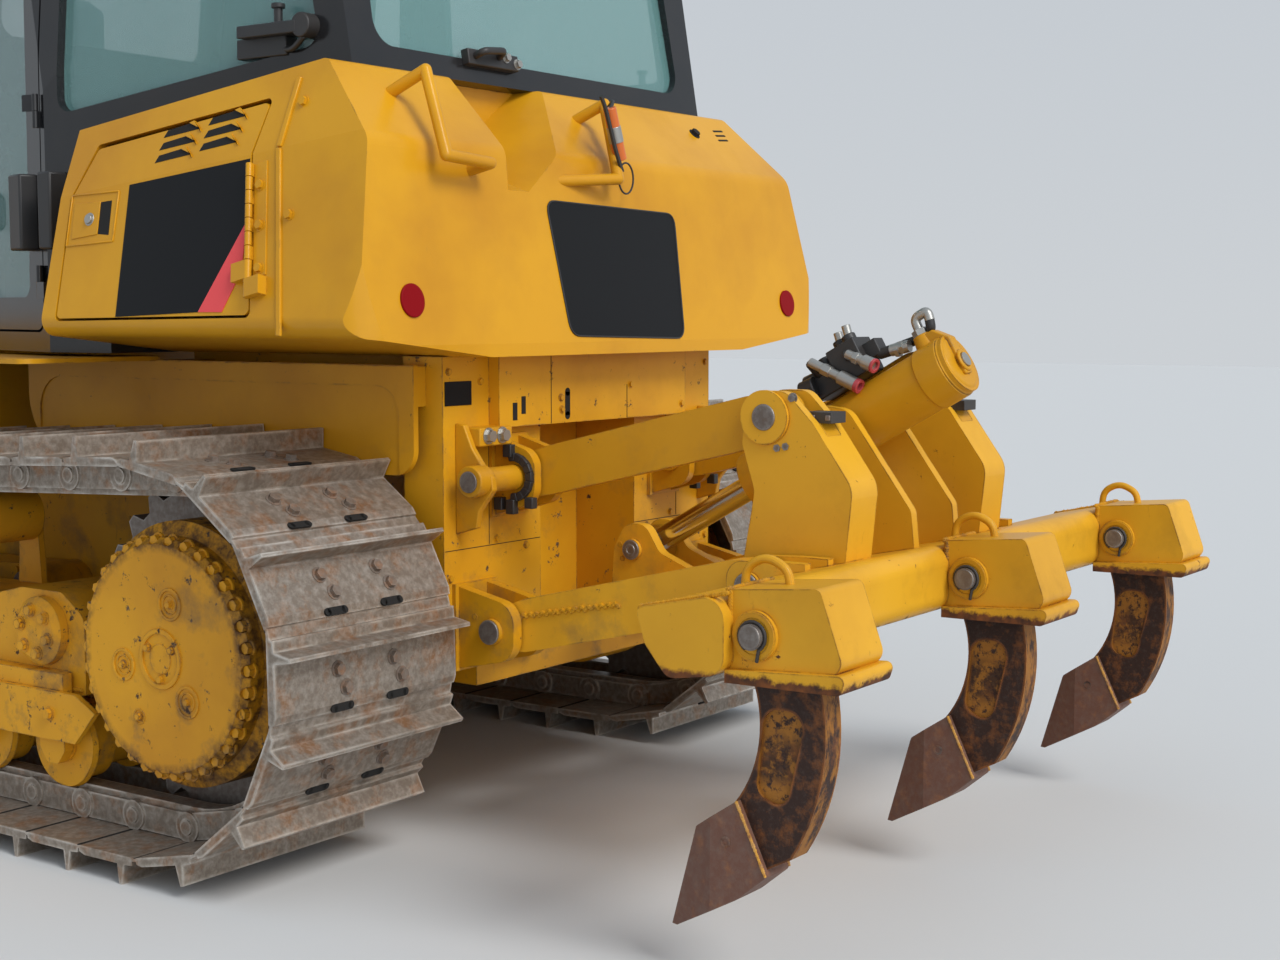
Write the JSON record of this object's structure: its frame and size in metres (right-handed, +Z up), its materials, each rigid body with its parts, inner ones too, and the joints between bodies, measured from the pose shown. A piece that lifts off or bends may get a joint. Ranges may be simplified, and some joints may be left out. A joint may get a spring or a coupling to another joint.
{
  "type": "track-type bulldozer with six-way blade and rear ripper",
  "caption": "Tracked bulldozer with an enclosed cab, an angling and tilting front blade, and a rear ripper whose shanks hang on a parallel linkage.",
  "frame": {"origin": "middle of the bounding box at ground level, under the tracks", "axes": "+Z up, +Y forward to the blade, +X to the machine's right"},
  "size_m": [3.077, 5.977, 2.96],
  "materials": {
    "yellow_paint": "glossy yellow enamel, worn",
    "black_paint": "satin black",
    "shoe_steel": "worn, rusty steel with bright edges",
    "rusty_steel": "brown rusted steel",
    "bright_steel": "chromed rod",
    "bare_steel": "bare machined steel",
    "tinted_glass": "tinted glass",
    "seat_fabric": "dark fabric",
    "dark_plastic": "dark moulded plastic",
    "engine_paint": "dark painted casting",
    "lamp_glass": "clear lens"
  },
  "bodies": {
    "root": {"main_frame": "yellow_paint", "rear_body": "yellow_paint", "fenders": "yellow_paint", "hood": "yellow_paint", "radiator_guard": "yellow_paint", "engine": "engine_paint", "exhaust_stack": "black_paint", "cab_frame": "black_paint", "cab_roof": "black_paint", "cab_glass": "tinted_glass", "seat": "seat_fabric", "consoles": "dark_plastic", "track_frame_left": "yellow_paint", "track_frame_right": "yellow_paint", "track_left": "shoe_steel", "track_right": "shoe_steel", "sprockets": "bare_steel", "final_drive_left": "yellow_paint", "final_drive_right": "yellow_paint", "idlers": "bare_steel", "track_rollers": "bare_steel", "carrier_rollers": "bare_steel", "ripper_bracket": "yellow_paint", "lamps": "lamp_glass", "lift_yokes": "yellow_paint"},
    "cab_door_left": {"cab_door_left": "black_paint", "door_glass_left": "tinted_glass"},
    "cab_door_right": {"cab_door_right": "black_paint", "door_glass_right": "tinted_glass"},
    "engine_door_left": {"engine_door_left": "yellow_paint"},
    "engine_door_right": {"engine_door_right": "yellow_paint"},
    "service_door_left": {"service_door_left": "yellow_paint"},
    "service_door_right": {"service_door_right": "yellow_paint"},
    "blade_frame": {"c_frame": "yellow_paint"},
    "blade_carrier": {"blade_carrier": "yellow_paint"},
    "blade": {"blade": "yellow_paint", "cutting_edge": "bare_steel"},
    "lift_barrel_left": {"lift_barrel_left": "yellow_paint"},
    "lift_rod_left": {"lift_rod_left": "bright_steel"},
    "lift_barrel_right": {"lift_barrel_right": "yellow_paint"},
    "lift_rod_right": {"lift_rod_right": "bright_steel"},
    "angle_barrel_left": {"angle_barrel_left": "yellow_paint"},
    "angle_rod_left": {"angle_rod_left": "bright_steel"},
    "angle_barrel_right": {"angle_barrel_right": "yellow_paint"},
    "angle_rod_right": {"angle_rod_right": "bright_steel"},
    "tilt_barrel": {"tilt_barrel": "yellow_paint"},
    "tilt_rod": {"tilt_rod": "bright_steel"},
    "ripper_lower_link": {"ripper_lower_link": "yellow_paint"},
    "ripper_beam": {"ripper_beam": "yellow_paint", "ripper_shanks": "rusty_steel", "ripper_tips": "rusty_steel", "shank_pins": "bare_steel"},
    "ripper_upper_links": {"ripper_upper_links": "yellow_paint"},
    "ripper_barrel": {"ripper_barrel": "yellow_paint"},
    "ripper_rod": {"ripper_rod": "bright_steel"}
  },
  "joints": [
    {"name": "cab_door_left_hinge", "type": "hinge", "parent": "root", "child": "cab_door_left", "pos_m": [-0.772, -0.55249, 1.29], "axis": [0, 0, 1], "range_deg": [0, 100]},
    {"name": "cab_door_right_hinge", "type": "hinge", "parent": "root", "child": "cab_door_right", "pos_m": [0.772, -0.55249, 1.29], "axis": [0, 0, -1], "range_deg": [0, 100]},
    {"name": "engine_door_left_hinge", "type": "hinge", "parent": "root", "child": "engine_door_left", "pos_m": [-0.411, 0.22151, 1.04], "axis": [0, 0, 1], "range_deg": [0, 90]},
    {"name": "engine_door_right_hinge", "type": "hinge", "parent": "root", "child": "engine_door_right", "pos_m": [0.411, 0.22151, 1.04], "axis": [0, 0, -1], "range_deg": [0, 90]},
    {"name": "service_door_left_hinge", "type": "hinge", "parent": "root", "child": "service_door_left", "pos_m": [-0.9568, -1.50049, 1.2875], "axis": [0.2191, 0.1839, 0.9582], "range_deg": [0, 100]},
    {"name": "service_door_right_hinge", "type": "hinge", "parent": "root", "child": "service_door_right", "pos_m": [0.9568, -1.50049, 1.2875], "axis": [0.2191, -0.1839, -0.9582], "range_deg": [0, 100]},
    {"name": "blade_lift", "type": "hinge", "parent": "root", "child": "blade_frame", "pos_m": [0, -0.19149, 0.48], "axis": [1, 0, 0], "range_deg": [-10.7, 13.3]},
    {"name": "blade_angle", "type": "hinge", "parent": "blade_frame", "child": "blade_carrier", "pos_m": [0, 2.20851, 0.47], "axis": [0, 0, 1], "range_deg": [-25, 25]},
    {"name": "blade_tilt", "type": "hinge", "parent": "blade_carrier", "child": "blade", "pos_m": [0, 2.60851, 0.5], "axis": [0, 1, 0], "range_deg": [-8, 8]},
    {"name": "lift_barrel_left_swing", "type": "hinge", "parent": "root", "child": "lift_barrel_left", "pos_m": [-0.5, 1.21851, 1.4], "axis": [1, 0, 0], "range_deg": [-8.36, 10.39]},
    {"name": "lift_rod_left_slide", "type": "slide", "parent": "lift_barrel_left", "child": "lift_rod_left", "axis": [0, 0.4084, -0.9128], "range_m": [-0.3861, 0.31063]},
    {"name": "lift_barrel_right_swing", "type": "hinge", "parent": "root", "child": "lift_barrel_right", "pos_m": [0.5, 1.21851, 1.4], "axis": [1, 0, 0], "range_deg": [-8.36, 10.39]},
    {"name": "lift_rod_right_slide", "type": "slide", "parent": "lift_barrel_right", "child": "lift_rod_right", "axis": [0, 0.4084, -0.9128], "range_m": [-0.3861, 0.31063]},
    {"name": "angle_barrel_left_swing", "type": "hinge", "parent": "blade_frame", "child": "angle_barrel_left", "pos_m": [-0.34, 1.55851, 0.62], "axis": [0, 0, 1], "range_deg": [-9.27, 9.27]},
    {"name": "angle_rod_left_slide", "type": "slide", "parent": "angle_barrel_left", "child": "angle_rod_left", "axis": [-0.1961, 0.9806, 0], "range_m": [-0.19958, 0.19958]},
    {"name": "angle_barrel_right_swing", "type": "hinge", "parent": "blade_frame", "child": "angle_barrel_right", "pos_m": [0.34, 1.55851, 0.62], "axis": [0, 0, 1], "range_deg": [-9.27, 9.27]},
    {"name": "angle_rod_right_slide", "type": "slide", "parent": "angle_barrel_right", "child": "angle_rod_right", "axis": [0.1961, 0.9806, 0], "range_m": [-0.19958, 0.19958]},
    {"name": "tilt_barrel_swing", "type": "hinge", "parent": "blade_carrier", "child": "tilt_barrel", "pos_m": [-0.33, 2.50851, 0.88], "axis": [0, 1, 0], "range_deg": [-4.33, 4.33]},
    {"name": "tilt_rod_slide", "type": "slide", "parent": "tilt_barrel", "child": "tilt_rod", "axis": [0.9971, 0, 0.0755], "range_m": [-0.05638, 0.05638]},
    {"name": "ripper_lift", "type": "hinge", "parent": "root", "child": "ripper_lower_link", "pos_m": [0, -1.82149, 0.525], "axis": [-1, 0, 0], "range_deg": [-38, 28]},
    {"name": "ripper_beam_pivot", "type": "hinge", "parent": "ripper_lower_link", "child": "ripper_beam", "pos_m": [0, -2.50749, 0.688], "axis": [-1, 0, 0], "range_deg": [-28, 38]},
    {"name": "ripper_upper_link_swing", "type": "hinge", "parent": "root", "child": "ripper_upper_links", "pos_m": [0, -1.78149, 0.87], "axis": [-1, 0, 0], "range_deg": [-38, 28]},
    {"name": "ripper_barrel_swing", "type": "hinge", "parent": "ripper_beam", "child": "ripper_barrel", "pos_m": [0, -2.46149, 0.99], "axis": [-1, 0, 0], "range_deg": [-32.75, 24.13]},
    {"name": "ripper_rod_slide", "type": "slide", "parent": "ripper_barrel", "child": "ripper_rod", "axis": [0, 0.8708, -0.4916], "range_m": [-0.19225, 0.14166]}
  ],
  "couplings": [
    {"joint": "lift_barrel_left_swing", "follows": "blade_lift", "ratio": 0.78},
    {"joint": "lift_rod_left_slide", "follows": "blade_lift", "m_per_rad": -1.66},
    {"joint": "lift_barrel_right_swing", "follows": "blade_lift", "ratio": 0.78},
    {"joint": "lift_rod_right_slide", "follows": "blade_lift", "m_per_rad": -1.66},
    {"joint": "angle_barrel_left_swing", "follows": "blade_angle", "ratio": 0.37},
    {"joint": "angle_rod_left_slide", "follows": "blade_angle", "m_per_rad": -0.4565},
    {"joint": "angle_barrel_right_swing", "follows": "blade_angle", "ratio": 0.37},
    {"joint": "angle_rod_right_slide", "follows": "blade_angle", "m_per_rad": 0.4565},
    {"joint": "tilt_barrel_swing", "follows": "blade_tilt", "ratio": 0.54},
    {"joint": "tilt_rod_slide", "follows": "blade_tilt", "m_per_rad": 0.403},
    {"joint": "ripper_beam_pivot", "follows": "ripper_lift", "ratio": -1},
    {"joint": "ripper_upper_link_swing", "follows": "ripper_lift", "ratio": 1},
    {"joint": "ripper_barrel_swing", "follows": "ripper_lift", "ratio": 0.86},
    {"joint": "ripper_rod_slide", "follows": "ripper_lift", "m_per_rad": 0.2893}
  ]
}
